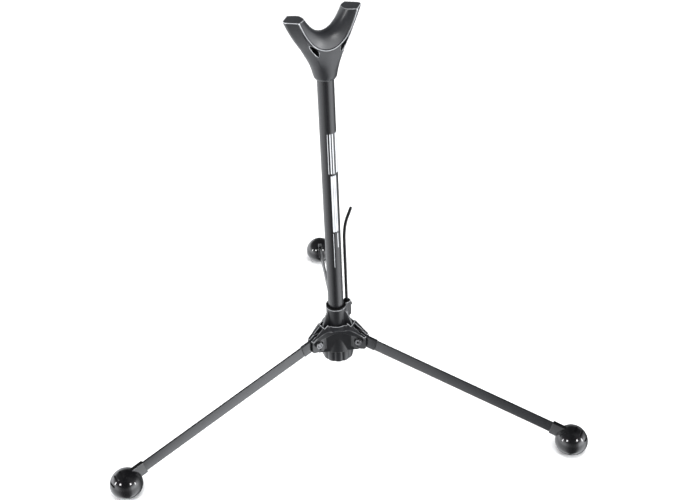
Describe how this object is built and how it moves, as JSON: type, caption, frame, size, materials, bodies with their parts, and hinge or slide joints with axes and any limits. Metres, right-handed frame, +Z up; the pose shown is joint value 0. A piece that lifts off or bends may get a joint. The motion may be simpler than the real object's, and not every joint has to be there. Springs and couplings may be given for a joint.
{
  "type": "bow stand",
  "caption": "Folding tripod stand with a round post, a U-shaped fork seat on top, a sprung wire clip beside the post and ball feet.",
  "frame": {"origin": "on the ground, below the middle of the bounding box of the unfolded stand; the post axis is at x = +0.064 m", "axes": "+Z up along the post, -X towards leg 1, +X towards the wire clip, the fork spreads close to the X axis"},
  "size_m": [0.4162, 0.4756, 0.4314],
  "materials": {
    "hub_plastic": "semi-matt moulded black",
    "fork_plastic": "semi-matt moulded black",
    "anodised_tube": "satin black anodised",
    "leg_bar": "satin black anodised",
    "foot_rubber": "glossy moulded black",
    "bush_plastic": "matt black",
    "black_steel": "blackened steel",
    "clip_coating": "black coated spring wire"
  },
  "bodies": {
    "frame": {"hub_body": "hub_plastic", "tube_bush": "bush_plastic", "post_tube": "anodised_tube", "tube_end_plug": "bush_plastic", "fork_head": "fork_plastic", "clip_grommet": "bush_plastic", "clip_screw": "black_steel", "leg_1_pivot_screw": "black_steel", "leg_1_pivot_nut": "black_steel", "leg_2_pivot_screw": "black_steel", "leg_2_pivot_nut": "black_steel", "leg_3_pivot_screw": "black_steel", "leg_3_pivot_nut": "black_steel"},
    "knob": {"bottom_knob": "hub_plastic", "knob_stud": "black_steel"},
    "clip": {"limb_clip": "clip_coating"},
    "leg_1": {"leg_1_knuckle": "leg_bar", "leg_1_bar": "leg_bar", "leg_1_foot": "foot_rubber"},
    "leg_2": {"leg_2_knuckle": "leg_bar", "leg_2_bar": "leg_bar", "leg_2_foot": "foot_rubber"},
    "leg_3": {"leg_3_knuckle": "leg_bar", "leg_3_bar": "leg_bar", "leg_3_foot": "foot_rubber"}
  },
  "joints": [
    {"name": "leg_1_fold", "type": "hinge", "parent": "frame", "child": "leg_1", "pos_m": [0.03647, 0, 0.0765], "axis": [0, 1, 0], "range_deg": [0, 104.3]},
    {"name": "leg_2_fold", "type": "hinge", "parent": "frame", "child": "leg_2", "pos_m": [0.07772, -0.02382, 0.0765], "axis": [-0.866, -0.5, 0], "range_deg": [0, 104.3]},
    {"name": "leg_3_fold", "type": "hinge", "parent": "frame", "child": "leg_3", "pos_m": [0.07772, 0.02382, 0.0765], "axis": [0.866, -0.5, 0], "range_deg": [0, 104.3]},
    {"name": "clip_flex", "type": "hinge", "parent": "frame", "child": "clip", "pos_m": [0.07762, 0, 0.1113], "axis": [0, 1, 0], "range_deg": [0, 5], "stiffness_Nm_per_rad": 2},
    {"name": "knob_turn", "type": "hinge", "parent": "frame", "child": "knob", "pos_m": [0.06397, 0, 0.056], "axis": [0, 0, 1], "continuous": true}
  ]
}
